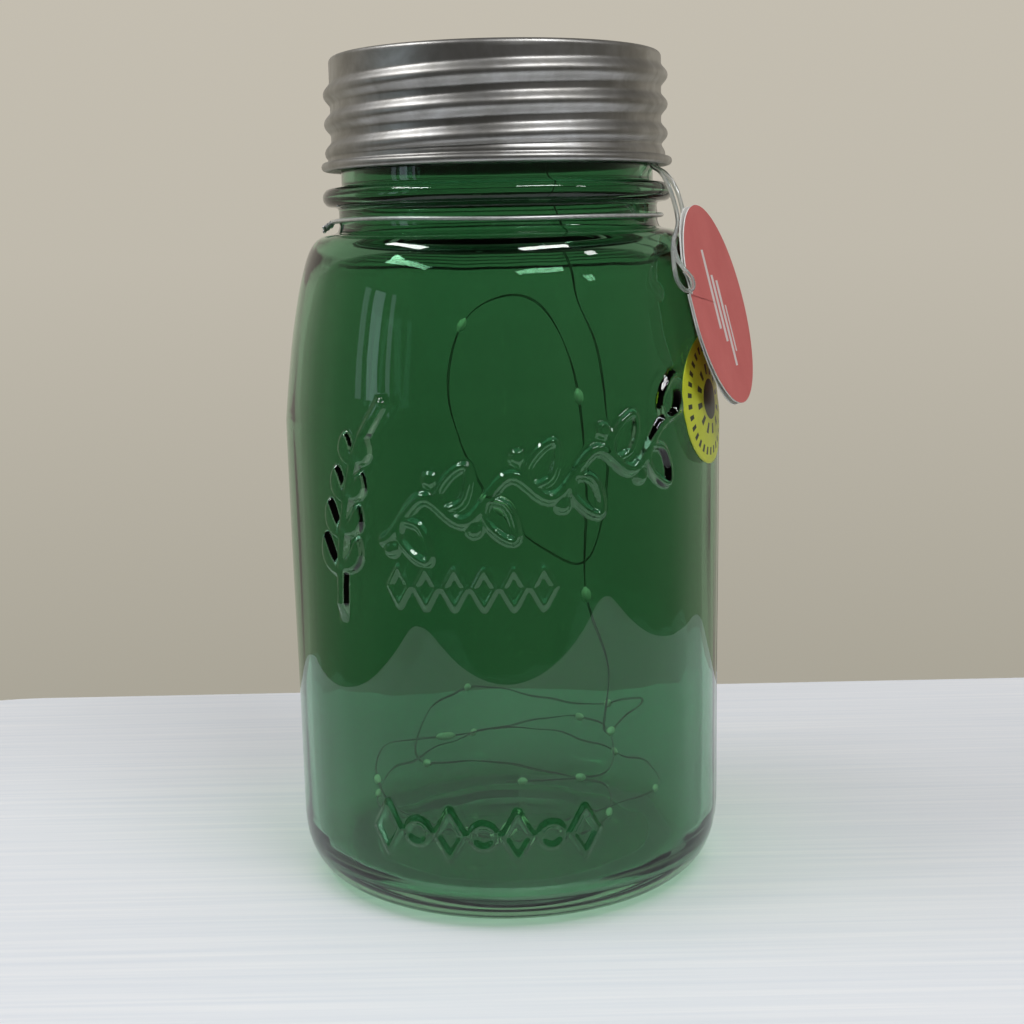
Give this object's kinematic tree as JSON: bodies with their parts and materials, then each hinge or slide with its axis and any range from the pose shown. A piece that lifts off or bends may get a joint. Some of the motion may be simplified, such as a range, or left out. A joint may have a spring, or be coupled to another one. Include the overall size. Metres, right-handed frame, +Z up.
{
  "type": "glass storage jar",
  "caption": "Green glass storage jar with a ridged metal screw cap, a battery light insert with a lamp string, a neck wire and a round hang tag.",
  "frame": {"origin": "centre of the jar's base, on the plane it stands on", "axes": "+Z up along the jar's axis, -Y is the front with the relief, +X is the side with the hang tag"},
  "size_m": [0.1222, 0.112, 0.2095],
  "materials": {
    "green_glass": "clear bottle green",
    "zinc": "dull mottled zinc",
    "galvanised_wire": "bright galvanised",
    "label_film": "semi-gloss label",
    "tag_card": "matte printed card",
    "clear_cord": "clear plastic",
    "pack_plastic": "fine texture",
    "rubber": "matte",
    "screw_steel": "plated",
    "cell_jacket": "shrunk film",
    "contact_metal": "nickel plate",
    "board": "solder mask",
    "component_plastic": "moulded",
    "knob_plastic": "moulded",
    "string_wire": "lacquered",
    "lamp_clear": "clear resin drops"
  },
  "bodies": {
    "jar": {"glass_jar": "green_glass", "side_sticker": "label_film", "cord_tucked_end": "clear_cord"},
    "light_insert": {"liner_disc": "pack_plastic", "rim_gasket": "rubber", "battery_housing": "pack_plastic", "housing_screws": "screw_steel", "battery_cells": "cell_jacket", "contact_springs": "contact_metal", "contact_plates": "contact_metal", "door_hinge_pin": "screw_steel", "circuit_board": "board", "board_components": "component_plastic", "switch_body": "component_plastic", "cord_grommet": "rubber", "led_string_wire": "string_wire", "led_beads": "lamp_clear"},
    "cap": {"screw_cap": "zinc"},
    "door": {"battery_door": "pack_plastic"},
    "knob": {"switch_knob": "knob_plastic"},
    "wire": {"neck_wire": "galvanised_wire"},
    "cord": {"tag_cord": "clear_cord"},
    "tag_back": {"tag_back_leaf": "tag_card"},
    "tag_front": {"tag_front_leaf": "tag_card"}
  },
  "joints": [
    {"name": "lid_lift", "type": "slide", "parent": "jar", "child": "light_insert", "axis": [0, 0, 1], "range_m": [0, 0.016]},
    {"name": "lid_turn", "type": "hinge", "parent": "light_insert", "child": "cap", "pos_m": [0, 0, 0.2], "axis": [0, 0, 1], "range_deg": [0, 810]},
    {"name": "door_hinge", "type": "hinge", "parent": "light_insert", "child": "door", "pos_m": [-0.025, 0, 0.1864], "axis": [0, 1, 0], "range_deg": [0, 100]},
    {"name": "switch_slide", "type": "slide", "parent": "light_insert", "child": "knob", "axis": [1, 0, 0], "range_m": [0, 0.003]},
    {"name": "wire_spin", "type": "hinge", "parent": "jar", "child": "wire", "pos_m": [0, 0, 0.1696], "axis": [0, 0, 1], "continuous": true},
    {"name": "cord_swing", "type": "hinge", "parent": "jar", "child": "cord", "pos_m": [0.03954, -0.00877, 0.1815], "axis": [-0.2164, -0.9763, 0], "range_deg": [0, 30]},
    {"name": "tag_swing", "type": "hinge", "parent": "cord", "child": "tag_back", "pos_m": [0.04487, -0.03393, 0.15195], "axis": [0.9012, -0.355, 0.2487], "range_deg": [-12, 12]},
    {"name": "tag_opening", "type": "hinge", "parent": "tag_back", "child": "tag_front", "pos_m": [0.0456, -0.0354, 0.1472], "axis": [0.2314, -0.0911, -0.9686], "range_deg": [0, 165]}
  ],
  "couplings": [
    {"joint": "lid_lift", "follows": "lid_turn", "m_per_rad": 0.00113}
  ]
}
